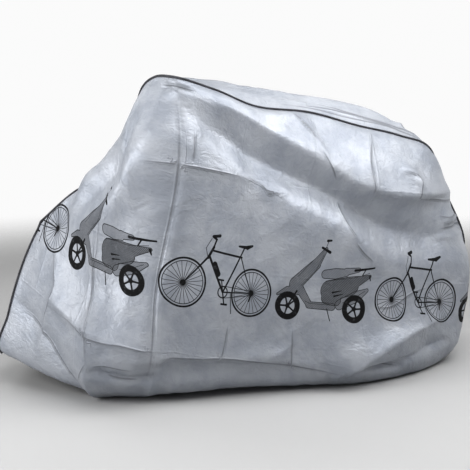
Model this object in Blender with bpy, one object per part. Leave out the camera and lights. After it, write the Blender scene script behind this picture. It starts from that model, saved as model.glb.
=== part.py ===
"""A loose film cover, as it hangs: two printed side panels and the long strip between them, joined by two
dark bound seams. Metres, +Z up, front at -X, near side at -Y, floor at Z = 0."""

from collections import namedtuple

import bmesh
import bpy
import numpy as np

FILM = 0.002  # thickness of the film as built
BINDING_RADIUS = 0.0045
SEAM_GAP = 0.0008  # between a bound edge and its binding
EDGE_INSET = BINDING_RADIUS + SEAM_GAP  # from the seam's middle to the edge of the film beside it
DATUM = np.array((-0.080, -0.050, 0.0))  # from the sections' own datum to the middle of the cover's box

COLUMNS = 50  # cells along a side panel, from its front edge to its rear edge
# A side panel is looked up by level: 0 its tucked hem, 1 the sill where it turns under, 2 the belly, 3 the
# printed row, 4 the brow, 5 the top seam. These are the cells from each level to the next.
CELLS = (1, 3, 5, 9, 4)
STRIP_CELLS = 5  # cells across the strip between the seams

# One row for each upright section of a side panel, front to rear. flat is the distance along the uncut panel;
# seam, brow, row and sill are where the film passes; belly is how far it swells out under the printed row, and
# tuck is how much of it is turned in under the cover.
Section = namedtuple("Section", "flat seam brow row sill belly tuck")
NEAR = (
    Section(0.00, seam=(-0.705, 0.080, 0.615), brow=(-0.717, 0.088, 0.585),
            row=(-0.732, 0.100, 0.553), sill=(-0.861, 0.130, 0.124), belly=0.015, tuck=0.03),
    Section(0.13, seam=(-0.585, 0.035, 0.725), brow=(-0.625, -0.005, 0.650),
            row=(-0.674, 0.000, 0.513), sill=(-0.767, 0.040, 0.090), belly=0.020, tuck=0.04),
    Section(0.20, seam=(-0.508, 0.050, 0.765), brow=(-0.573, -0.032, 0.750),
            row=(-0.641, -0.050, 0.492), sill=(-0.721, -0.009, 0.075), belly=0.027, tuck=0.05),
    Section(0.37, seam=(-0.380, 0.030, 0.945), brow=(-0.447, -0.125, 0.935),
            row=(-0.556, -0.160, 0.445), sill=(-0.620, -0.120, 0.052), belly=0.050, tuck=0.06),
    Section(0.48, seam=(-0.358, -0.085, 1.092), brow=(-0.412, -0.172, 1.025),
            row=(-0.497, -0.223, 0.421), sill=(-0.562, -0.177, 0.052), belly=0.060, tuck=0.07),
    Section(0.56, seam=(-0.330, -0.160, 1.130), brow=(-0.386, -0.220, 1.024),
            row=(-0.443, -0.270, 0.403), sill=(-0.508, -0.220, 0.053), belly=0.070, tuck=0.07),
    Section(0.65, seam=(-0.293, -0.270, 1.133), brow=(-0.281, -0.300, 1.026),
            row=(-0.366, -0.310, 0.386), sill=(-0.394, -0.250, 0.048), belly=0.070, tuck=0.08),
    Section(0.80, seam=(-0.155, -0.260, 1.093), brow=(-0.135, -0.290, 0.991),
            row=(-0.232, -0.330, 0.351), sill=(-0.270, -0.270, 0.043), belly=0.065, tuck=0.10),
    Section(1.02, seam=(0.019, -0.220, 1.029), brow=(0.016, -0.280, 0.886),
            row=(-0.041, -0.330, 0.312), sill=(-0.048, -0.270, 0.037), belly=0.060, tuck=0.12),
    Section(1.21, seam=(0.203, -0.200, 1.009), brow=(0.190, -0.280, 0.847),
            row=(0.128, -0.330, 0.289), sill=(0.156, -0.270, 0.021), belly=0.060, tuck=0.13),
    Section(1.46, seam=(0.402, -0.200, 0.957), brow=(0.386, -0.280, 0.807),
            row=(0.352, -0.310, 0.259), sill=(0.367, -0.260, 0.009), belly=0.060, tuck=0.15),
    Section(1.64, seam=(0.578, -0.180, 0.916), brow=(0.565, -0.250, 0.762),
            row=(0.520, -0.270, 0.244), sill=(0.563, -0.220, 0.005), belly=0.060, tuck=0.16),
    Section(1.80, seam=(0.728, -0.130, 0.857), brow=(0.690, -0.200, 0.716),
            row=(0.650, -0.230, 0.224), sill=(0.692, -0.180, 0.008), belly=0.060, tuck=0.16),
    Section(1.93, seam=(0.822, -0.060, 0.706), brow=(0.800, -0.140, 0.640),
            row=(0.770, -0.180, 0.199), sill=(0.813, -0.120, 0.020), belly=0.050, tuck=0.16),
    Section(2.07, seam=(0.960, 0.020, 0.508), brow=(0.945, -0.060, 0.420),
            row=(0.905, -0.100, 0.165), sill=(0.885, -0.060, 0.040), belly=0.015, tuck=0.16),
    Section(2.20, seam=(1.015, 0.095, 0.375), brow=(1.020, 0.082, 0.310),
            row=(1.000, 0.070, 0.160), sill=(0.960, 0.090, 0.030), belly=0.000, tuck=0.14),
)
FAR = (
    Section(0.00, seam=(-0.590, 0.390, 0.590), brow=(-0.610, 0.395, 0.545),
            row=(-0.635, 0.400, 0.500), sill=(-0.780, 0.390, 0.110), belly=0.000, tuck=0.03),
    Section(0.37, seam=(-0.305, 0.300, 0.950), brow=(-0.360, 0.435, 0.825),
            row=(-0.460, 0.440, 0.430), sill=(-0.520, 0.400, 0.040), belly=0.050, tuck=0.05),
    Section(0.56, seam=(-0.250, 0.250, 1.075), brow=(-0.272, 0.400, 0.980),
            row=(-0.370, 0.440, 0.410), sill=(-0.420, 0.390, 0.015), belly=0.050, tuck=0.06),
    Section(0.65, seam=(-0.215, 0.200, 1.103), brow=(-0.205, 0.330, 0.995),
            row=(-0.295, 0.430, 0.400), sill=(-0.330, 0.375, 0.008), belly=0.050, tuck=0.07),
    Section(1.02, seam=(0.030, 0.200, 1.030), brow=(0.025, 0.285, 0.890),
            row=(-0.010, 0.400, 0.350), sill=(-0.020, 0.355, 0.006), belly=0.050, tuck=0.08),
    Section(1.46, seam=(0.410, 0.200, 0.960), brow=(0.400, 0.290, 0.820),
            row=(0.370, 0.390, 0.300), sill=(0.380, 0.345, 0.006), belly=0.050, tuck=0.08),
    Section(1.80, seam=(0.700, 0.220, 0.845), brow=(0.690, 0.305, 0.720),
            row=(0.670, 0.370, 0.260), sill=(0.690, 0.335, 0.006), belly=0.050, tuck=0.08),
    Section(2.07, seam=(0.850, 0.330, 0.500), brow=(0.855, 0.365, 0.420),
            row=(0.850, 0.365, 0.190), sill=(0.840, 0.340, 0.012), belly=0.030, tuck=0.06),
    Section(2.20, seam=(0.915, 0.370, 0.370), brow=(0.920, 0.370, 0.300),
            row=(0.915, 0.365, 0.170), sill=(0.885, 0.355, 0.025), belly=0.000, tuck=0.04),
)

# A fold follows a path over the panel, through places given as (distance along the panel, height above the
# floor). Its depth is outward for a ridge and inward, so negative, for a trough. A crest of 2 is round and one
# of 1 is sharp.
Fold = namedtuple("Fold", "width depth crest path")
SHOULDER = ((0.60, 1.12), (0.84, 1.03), (1.04, 0.96), (1.20, 0.86), (1.36, 0.77), (1.60, 0.705), (2.16, 0.62))
LONG_TROUGH = ((0.56, 1.14), (0.80, 0.95), (1.09, 0.775), (1.40, 0.665), (1.70, 0.59), (2.20, 0.52))
UNDER_TROUGH = ((0.60, 1.06), (0.84, 0.90), (1.09, 0.73), (1.40, 0.61), (1.70, 0.53), (2.16, 0.45))
NEAR_FOLDS = (
    Fold(0.060, 0.042, 1.4, SHOULDER),
    Fold(0.090, 0.014, 2.0, ((1.24, 0.92), (1.56, 0.84), (1.90, 0.77))),  # hump above its rear half
    Fold(0.052, -0.052, 1.8, LONG_TROUGH),
    Fold(0.045, 0.024, 1.4, UNDER_TROUGH),
    Fold(0.050, 0.034, 1.4, ((0.62, 1.18), (0.57, 0.95), (0.40, 0.77), (0.14, 0.64))),  # down the front slope
    Fold(0.050, -0.034, 1.8, ((0.58, 1.12), (0.50, 0.92), (0.34, 0.80), (0.08, 0.72))),
    Fold(0.045, 0.018, 1.4, ((0.04, 0.67), (0.16, 0.76), (0.26, 0.84))),  # under the front seam
    Fold(0.055, 0.036, 1.2, ((0.66, 1.25), (0.65, 0.60), (0.64, -0.20))),  # upright edge under the peak
    Fold(0.050, 0.030, 1.2, ((0.32, 0.78), (0.39, 0.38), (0.42, -0.12))),  # upright edge at the front
    Fold(0.040, 0.018, 1.2, ((0.16, 0.54), (0.20, 0.36), (0.15, 0.08))),
    Fold(0.040, -0.022, 1.5, ((-0.04, 0.37), (0.21, 0.20), (0.48, 0.04))),
    Fold(0.038, -0.026, 1.5, ((0.24, 0.35), (0.46, 0.27), (0.76, 0.15))),
    Fold(0.035, 0.016, 1.5, ((0.24, 0.29), (0.46, 0.21), (0.72, 0.11))),
    Fold(0.050, 0.026, 1.4, ((0.50, 0.22), (0.93, 0.14), (1.44, 0.06))),  # along the belly
    Fold(0.042, 0.028, 1.4, ((1.10, 0.11), (1.42, 0.165), (1.76, 0.24))),  # low at the rear
    Fold(0.040, -0.030, 1.7, ((1.30, 0.05), (1.60, 0.15), (1.94, 0.20))),
    Fold(0.036, 0.020, 1.4, ((1.34, 0.07), (1.62, 0.11), (1.92, 0.13))),
)
FAR_FANS = (
    Fold(0.065, -0.036, 1.8, ((0.58, 1.12), (0.86, 0.93), (1.10, 0.80), (1.50, 0.68), (2.14, 0.56))),
    Fold(0.055, 0.026, 1.5, ((0.58, 1.06), (0.84, 0.86), (1.08, 0.70), (1.48, 0.56), (2.08, 0.44))),
    Fold(0.055, 0.024, 1.4, ((0.54, 1.06), (0.46, 0.80), (0.12, 0.60))),
    Fold(0.050, 0.024, 1.2, ((0.64, 1.18), (0.63, 0.60), (0.62, -0.20))),
)
# Upright folds in the lower half of the far panel: where each stands along it, how high it reaches, its depth.
Drop = namedtuple("Drop", "along top depth")
FAR_DROPS = (
    Drop(0.22, 0.62, 0.020),
    Drop(0.40, 0.66, -0.022),
    Drop(0.80, 0.58, -0.026),
    Drop(0.96, 0.50, 0.022),
    Drop(1.16, 0.62, -0.024),
    Drop(1.34, 0.54, 0.026),
    Drop(1.52, 0.60, -0.020),
    Drop(1.70, 0.50, 0.022),
    Drop(1.88, 0.44, -0.018),
)
DROP_LEAN = 0.03
DROP_WIDTH = 0.055
DROP_CREST = 1.6
FAR_FOLDS = FAR_FANS + tuple(
    Fold(DROP_WIDTH, depth, DROP_CREST, ((along, top), (along + DROP_LEAN, top / 3), (along, -top / 3)))
    for along, top, depth in FAR_DROPS
)
FOLD_STEPS = 21  # places along a fold between which its path is straight
END_RISE = 6  # how fast a fold rises from its ends, where 4 would be a parabola over its whole length
SEWN_FADE = 0.06  # how far from a sewn edge the folds reach their full depth

# How far the strip stands out between its seams, at a share of the way from the front hem to the rear one.
Crown = namedtuple("Crown", "share height")
CROWNS = (
    Crown(0.00, 0.01),
    Crown(0.15, 0.00),
    Crown(0.30, 0.00),
    Crown(0.38, -0.01),
    Crown(0.42, 0.010),
    Crown(0.46, 0.045),
    Crown(0.55, 0.066),
    Crown(0.63, 0.074),
    Crown(0.69, 0.022),
    Crown(0.80, 0.040),
    Crown(1.00, 0.020),
)

BELLY_AT = 0.66  # how far down from the printed row to the sill the belly lies
TUCK_FALL = 0.6  # drop of the tucked hem for its width, until it lies on the floor
HEM_HEIGHT = 0.005  # middle of the film where it lies on the floor
KEEL_ENDS = (-0.4, 0.4)  # X of the ends of the cover's middle line, from which its tuck and belly point away
KEEL_Y = 0.03

FILM_COLOUR = (0.50, 0.52, 0.56)
TAPE_COLOUR = (0.05, 0.05, 0.055)


def curve_through(knots, values, at):
    """A smooth curve through values, one for each of the rising knots, read at each place of at."""
    knots, values, at = (np.asarray(given, float) for given in (knots, values, at))
    slopes = np.diff(values, axis=0) / np.diff(knots)[:, None]
    gaps = np.diff(knots)[:, None]
    inner = (slopes[:-1] * gaps[1:] + slopes[1:] * gaps[:-1]) / (gaps[1:] + gaps[:-1])
    tangents = np.concatenate([slopes[:1], inner, slopes[-1:]])
    index = np.clip(np.searchsorted(knots, at, side="right") - 1, 0, len(knots) - 2)
    gap = (knots[index + 1] - knots[index])[:, None]
    t = (at[:, None] - knots[index][:, None]) / gap
    return (
        values[index] * (2 * t**3 - 3 * t**2 + 1)
        + tangents[index] * gap * (t**3 - 2 * t**2 + t)
        + values[index + 1] * (3 * t**2 - 2 * t**3)
        + tangents[index + 1] * gap * (t**3 - t**2)
    )


def unit(vectors):
    return vectors / np.maximum(np.linalg.norm(vectors, axis=-1, keepdims=True), 1e-9)


def outward_from_keel(points):
    """Level unit vectors from the nearest place on the cover's middle line to each point."""
    nearest = np.clip(points[:, 0], *KEEL_ENDS)
    away = np.stack([points[:, 0] - nearest, points[:, 1] - KEEL_Y, np.zeros(len(points))], axis=1)
    return unit(away)


def fold_shift(folds, along, height):
    """How far the folds move each point of a panel along its outward normal."""
    shift = np.zeros(along.shape)
    for fold in folds:
        path = curve_through(np.linspace(0, 1, len(fold.path)), fold.path, np.linspace(0, 1, FOLD_STEPS))
        nearest = np.full(along.shape, np.inf)
        place = np.zeros(along.shape)
        for step, (start, run) in enumerate(zip(path, np.diff(path, axis=0))):
            share = ((along - start[0]) * run[0] + (height - start[1]) * run[1]) / (run @ run)
            share = np.clip(share, 0, 1)
            away = np.hypot(along - start[0] - share * run[0], height - start[1] - share * run[1])
            place = np.where(away < nearest, (step + share) / (FOLD_STEPS - 1), place)
            nearest = np.minimum(away, nearest)
        fade = np.clip(END_RISE * place * (1 - place), 0, 1)
        shift += fold.depth * fade * np.exp(-((nearest / fold.width) ** fold.crest))
    return shift


def panel_points(sections, folds, side):
    """The middle surface of a side panel, as points by level and column. side is 1 near and -1 far."""
    flats = [section.flat for section in sections]
    along = np.linspace(0, flats[-1], COLUMNS + 1)
    seam, brow, row, sill = (
        curve_through(flats, [getattr(section, name) for section in sections], along)
        for name in ("seam", "brow", "row", "sill")
    )
    fullness = [(section.belly, section.tuck) for section in sections]
    swell, tuck = curve_through(flats, fullness, along).T[..., None]
    belly = row + (sill - row) * BELLY_AT + outward_from_keel(row) * swell
    hem = sill - outward_from_keel(sill) * tuck
    hem[:, 2] = np.maximum(HEM_HEIGHT, sill[:, 2] - TUCK_FALL * tuck[:, 0])
    levels = np.stack([hem, sill, belly, row, brow, seam])
    chords = np.linalg.norm(np.diff(levels, axis=0), axis=2)
    share = np.concatenate([np.arange(count) / count + i for i, count in enumerate(CELLS)] + [[len(CELLS)]])
    points = np.empty((len(share), len(along), 3))
    from_seam = np.empty(points.shape[:2])
    for column in range(len(along)):
        knots = np.concatenate([[0], np.cumsum(chords[:, column])])
        places = np.interp(share, np.arange(len(knots)), knots)
        points[:, column] = curve_through(knots, levels[:, column], places)
        from_seam[:, column] = knots[-1] - places
    normal = side * unit(np.cross(np.gradient(points, axis=1), np.gradient(points, axis=0)))
    shift = fold_shift(folds, np.broadcast_to(along, points.shape[:2]), points[..., 2])
    fade = np.clip(np.minimum(from_seam, np.minimum(along, flats[-1] - along)) / SEWN_FADE, 0, 1)
    points += normal * (shift * fade)[..., None]
    points[..., 2] = np.maximum(points[..., 2], HEM_HEIGHT)
    return points + DATUM


def edge_of(grid):
    """A panel's sewn edge: up its front column, along its top row and down its rear column."""
    return np.concatenate([grid[:, 0], grid[-1, 1:-1], grid[::-1, -1]])


def set_back(edge, inner):
    """The edge moved over the film towards its inner neighbours, to leave room for the binding."""
    tangent = unit(np.gradient(edge, axis=0))
    way = inner - edge
    way = unit(way - (way * tangent).sum(axis=1, keepdims=True) * tangent)
    turn = unit(np.diff(edge, axis=0))
    half = np.ones(len(edge))
    half[1:-1] = np.sqrt((1 + (turn[1:] * turn[:-1]).sum(axis=1)) / 2)
    return edge + way * (EDGE_INSET / half)[:, None]


def trim_panel(grid):
    """A side panel's grid with its sewn edge set back from the seam's middle."""
    inner = np.concatenate([grid[:-1, 1], grid[-2:-1, 1], grid[-2, 1:-1], grid[-2:-1, -2], grid[-2::-1, -2]])
    edge = set_back(edge_of(grid), inner)
    levels, columns = grid.shape[:2]
    trimmed = grid.copy()
    trimmed[:, 0] = edge[:levels]
    trimmed[-1, 1:-1] = edge[levels : levels + columns - 2]
    trimmed[::-1, -1] = edge[levels + columns - 2 :]
    return trimmed


def strip_points(near_edge, far_edge):
    """The strip over the front, top and rear, from the near seam across to the far one."""
    lengths = np.linalg.norm(np.diff(near_edge, axis=0), axis=1)
    share = np.concatenate([[0], np.cumsum(lengths)]) / lengths.sum()
    crown = curve_through([c.share for c in CROWNS], [[c.height] for c in CROWNS], share)
    across = far_edge - near_edge
    out = unit(np.cross(np.gradient(near_edge + far_edge, axis=0), across))
    places = np.linspace(0, 1, STRIP_CELLS + 1)
    rows = [near_edge + across * w + out * crown * 4 * w * (1 - w) for w in places]
    strip = np.stack(rows)
    strip[..., 2] = np.maximum(strip[..., 2], HEM_HEIGHT)
    trimmed = strip.copy()
    trimmed[0] = set_back(strip[0], strip[1])
    trimmed[-1] = set_back(strip[-1], strip[-2])
    return trimmed


def film(name, grid, material):
    """A sheet of film through a grid of points, as one closed solid."""
    rows, columns = grid.shape[:2]
    mesh = bpy.data.meshes.new(name)
    shape = bmesh.new()
    bmesh.ops.create_grid(shape, x_segments=columns - 1, y_segments=rows - 1, size=1)
    for vert in shape.verts:
        column = round((vert.co.x + 1) / 2 * (columns - 1))
        row = round((vert.co.y + 1) / 2 * (rows - 1))
        vert.co = grid[row, column]
    shape.to_mesh(mesh)
    shape.free()
    mesh.shade_smooth()
    mesh.materials.append(material)
    sheet = bpy.data.objects.new(name, mesh)
    thickness = sheet.modifiers.new("film", "SOLIDIFY")
    thickness.thickness = FILM
    thickness.offset = 0
    bpy.context.collection.objects.link(sheet)


def binding(name, edge, material):
    """The folded tape sewn round a seam, as a round tube along it."""
    curve = bpy.data.curves.new(name, "CURVE")
    curve.dimensions = "3D"
    curve.bevel_depth = BINDING_RADIUS
    curve.bevel_resolution = 0
    curve.use_fill_caps = True
    spline = curve.splines.new("POLY")
    spline.points.add(len(edge) - 1)
    for point, place in zip(spline.points, edge):
        point.co = (*place, 1)
    curve.materials.append(material)
    bpy.context.collection.objects.link(bpy.data.objects.new(name, curve))


def plain_material(name, colour, roughness):
    material = bpy.data.materials.new(name)
    material.use_nodes = True
    shader = material.node_tree.nodes["Principled BSDF"]
    shader.inputs["Base Color"].default_value = (*colour, 1)
    shader.inputs["Roughness"].default_value = roughness
    return material


def main():
    for old in list(bpy.data.objects):
        bpy.data.objects.remove(old)
    film_finish = plain_material("silver_film", FILM_COLOUR, 0.42)
    tape_finish = plain_material("dark_tape", TAPE_COLOUR, 0.7)
    near = panel_points(NEAR, NEAR_FOLDS, 1)
    far = panel_points(FAR, FAR_FOLDS, -1)
    film("side_panel_near", trim_panel(near), film_finish)
    film("side_panel_far", trim_panel(far), film_finish)
    film("top_strip", strip_points(edge_of(near), edge_of(far)), film_finish)
    binding("seam_binding_near", edge_of(near), tape_finish)
    binding("seam_binding_far", edge_of(far), tape_finish)


if __name__ == "__main__":
    main()
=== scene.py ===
"""Looks for a loose silver film cover: two printed side panels, the long strip between them, and two seams
bound with dark tape. Metres, +Z up, front at -X, the printed side that shows at -Y, floor at Z = 0."""

from collections import namedtuple
from functools import cache
from math import cos, radians, sin, tau

import bmesh
import bpy
import numpy as np
from bpy.props import FloatProperty, FloatVectorProperty, PointerProperty
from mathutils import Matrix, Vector, noise


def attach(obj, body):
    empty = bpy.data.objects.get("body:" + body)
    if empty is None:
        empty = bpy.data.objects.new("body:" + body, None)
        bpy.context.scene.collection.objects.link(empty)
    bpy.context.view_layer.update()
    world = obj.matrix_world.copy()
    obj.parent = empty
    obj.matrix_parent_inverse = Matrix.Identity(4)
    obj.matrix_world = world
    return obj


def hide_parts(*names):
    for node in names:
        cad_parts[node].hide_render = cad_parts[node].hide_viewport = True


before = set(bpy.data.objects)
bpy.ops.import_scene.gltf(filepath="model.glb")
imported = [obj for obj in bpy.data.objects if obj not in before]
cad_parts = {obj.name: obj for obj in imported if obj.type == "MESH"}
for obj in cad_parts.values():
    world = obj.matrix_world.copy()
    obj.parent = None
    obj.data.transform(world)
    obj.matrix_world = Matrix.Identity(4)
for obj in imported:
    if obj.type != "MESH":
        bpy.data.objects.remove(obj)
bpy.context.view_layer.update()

bl_info = {
    "name": "Bicycle cover",
    "version": (1, 0, 0),
    "blender": (4, 5, 0),
    "location": "View3D > Sidebar > Cover",
    "description": "Builds a loose film cover with its bound seams, print, folds and creases",
    "category": "Object",
}

DATUM = np.array((-0.080, -0.050, 0.0))  # from the sections' own datum to the middle of the cover's box
CUT_LENGTH = 2.20  # of a side panel, before it is draped
STRIP_LENGTH = 3.40
STRIP_WIDTH = 0.36
# Which way a side panel faces: out at -Y or out at +Y.
NEAR_SIDE = 1
FAR_SIDE = -1

# A side panel is looked up by level: 0 its tucked hem, 1 the sill where it turns under, 2 the belly, 3 the
# printed row, 4 the brow, 5 the top seam.
ROW_LEVEL = 3
NEAR_CELLS = (9, 16, 29, 66, 20)  # cells from each level to the next
NEAR_COLUMNS = 312
FAR_CELLS = (6, 11, 20, 44, 14)
FAR_COLUMNS = 220
STRIP_CELLS = 36
STRIP_FINER = 2  # strip cells to one cell of the near panel's edge

# One row for each upright section of a side panel, front to rear. flat is the distance along the uncut
# panel; seam, brow, row and sill are where the film passes; belly is how far it swells out under the printed
# row, and tuck is how much of it is turned in under the cover.
Section = namedtuple("Section", "flat seam brow row sill belly tuck")
NEAR = (
    Section(0.00, seam=(-0.705, 0.080, 0.615), brow=(-0.717, 0.088, 0.585),
            row=(-0.732, 0.100, 0.553), sill=(-0.861, 0.130, 0.124), belly=0.015, tuck=0.03),
    Section(0.13, seam=(-0.585, 0.035, 0.725), brow=(-0.625, -0.005, 0.650),
            row=(-0.674, 0.000, 0.513), sill=(-0.767, 0.040, 0.090), belly=0.020, tuck=0.04),
    Section(0.20, seam=(-0.508, 0.050, 0.765), brow=(-0.573, -0.032, 0.750),
            row=(-0.641, -0.050, 0.492), sill=(-0.721, -0.009, 0.075), belly=0.027, tuck=0.05),
    Section(0.37, seam=(-0.380, 0.030, 0.945), brow=(-0.447, -0.125, 0.935),
            row=(-0.556, -0.160, 0.445), sill=(-0.620, -0.120, 0.052), belly=0.050, tuck=0.06),
    Section(0.48, seam=(-0.358, -0.085, 1.092), brow=(-0.412, -0.172, 1.025),
            row=(-0.497, -0.223, 0.421), sill=(-0.562, -0.177, 0.052), belly=0.060, tuck=0.07),
    Section(0.56, seam=(-0.330, -0.160, 1.130), brow=(-0.386, -0.220, 1.024),
            row=(-0.443, -0.270, 0.403), sill=(-0.504, -0.205, 0.053), belly=0.060, tuck=0.07),
    Section(0.65, seam=(-0.293, -0.270, 1.133), brow=(-0.281, -0.300, 1.026),
            row=(-0.366, -0.310, 0.386), sill=(-0.390, -0.232, 0.048), belly=0.060, tuck=0.08),
    Section(0.80, seam=(-0.155, -0.260, 1.093), brow=(-0.135, -0.290, 0.991),
            row=(-0.232, -0.330, 0.351), sill=(-0.270, -0.250, 0.043), belly=0.055, tuck=0.10),
    Section(1.02, seam=(0.019, -0.220, 1.029), brow=(0.016, -0.280, 0.886),
            row=(-0.041, -0.330, 0.312), sill=(-0.048, -0.250, 0.037), belly=0.048, tuck=0.12),
    Section(1.21, seam=(0.203, -0.200, 1.009), brow=(0.190, -0.280, 0.847),
            row=(0.128, -0.330, 0.289), sill=(0.156, -0.250, 0.021), belly=0.048, tuck=0.13),
    Section(1.46, seam=(0.402, -0.200, 0.957), brow=(0.386, -0.280, 0.807),
            row=(0.352, -0.310, 0.259), sill=(0.367, -0.242, 0.009), belly=0.050, tuck=0.15),
    Section(1.64, seam=(0.578, -0.180, 0.916), brow=(0.565, -0.250, 0.762),
            row=(0.520, -0.270, 0.244), sill=(0.563, -0.210, 0.005), belly=0.045, tuck=0.16),
    Section(1.80, seam=(0.728, -0.130, 0.857), brow=(0.690, -0.200, 0.716),
            row=(0.650, -0.230, 0.224), sill=(0.692, -0.170, 0.008), belly=0.035, tuck=0.16),
    Section(1.93, seam=(0.822, -0.060, 0.706), brow=(0.800, -0.140, 0.640),
            row=(0.770, -0.180, 0.199), sill=(0.813, -0.110, 0.020), belly=0.025, tuck=0.16),
    Section(2.07, seam=(0.960, 0.020, 0.508), brow=(0.945, -0.060, 0.420),
            row=(0.905, -0.100, 0.165), sill=(0.885, -0.060, 0.040), belly=0.015, tuck=0.16),
    Section(2.20, seam=(1.015, 0.095, 0.375), brow=(1.020, 0.082, 0.310),
            row=(1.000, 0.070, 0.160), sill=(0.960, 0.090, 0.030), belly=0.000, tuck=0.14),
)
FAR = (
    Section(0.00, seam=(-0.590, 0.390, 0.590), brow=(-0.610, 0.395, 0.545),
            row=(-0.635, 0.400, 0.500), sill=(-0.780, 0.390, 0.110), belly=0.000, tuck=0.03),
    Section(0.37, seam=(-0.305, 0.300, 0.950), brow=(-0.360, 0.435, 0.825),
            row=(-0.460, 0.440, 0.430), sill=(-0.520, 0.400, 0.040), belly=0.050, tuck=0.05),
    Section(0.56, seam=(-0.250, 0.250, 1.075), brow=(-0.272, 0.400, 0.980),
            row=(-0.370, 0.440, 0.410), sill=(-0.420, 0.390, 0.015), belly=0.050, tuck=0.06),
    Section(0.65, seam=(-0.215, 0.200, 1.103), brow=(-0.205, 0.330, 0.995),
            row=(-0.295, 0.430, 0.400), sill=(-0.330, 0.375, 0.008), belly=0.050, tuck=0.07),
    Section(1.02, seam=(0.030, 0.200, 1.030), brow=(0.025, 0.285, 0.890),
            row=(-0.010, 0.400, 0.350), sill=(-0.020, 0.355, 0.006), belly=0.050, tuck=0.08),
    Section(1.46, seam=(0.410, 0.200, 0.960), brow=(0.400, 0.290, 0.820),
            row=(0.370, 0.390, 0.300), sill=(0.380, 0.345, 0.006), belly=0.050, tuck=0.08),
    Section(1.80, seam=(0.700, 0.220, 0.845), brow=(0.690, 0.305, 0.720),
            row=(0.670, 0.370, 0.260), sill=(0.690, 0.335, 0.006), belly=0.050, tuck=0.08),
    Section(2.07, seam=(0.850, 0.330, 0.500), brow=(0.855, 0.365, 0.420),
            row=(0.850, 0.365, 0.190), sill=(0.840, 0.340, 0.012), belly=0.030, tuck=0.06),
    Section(2.20, seam=(0.915, 0.370, 0.370), brow=(0.920, 0.370, 0.300),
            row=(0.915, 0.365, 0.170), sill=(0.885, 0.355, 0.025), belly=0.000, tuck=0.04),
)

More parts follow.
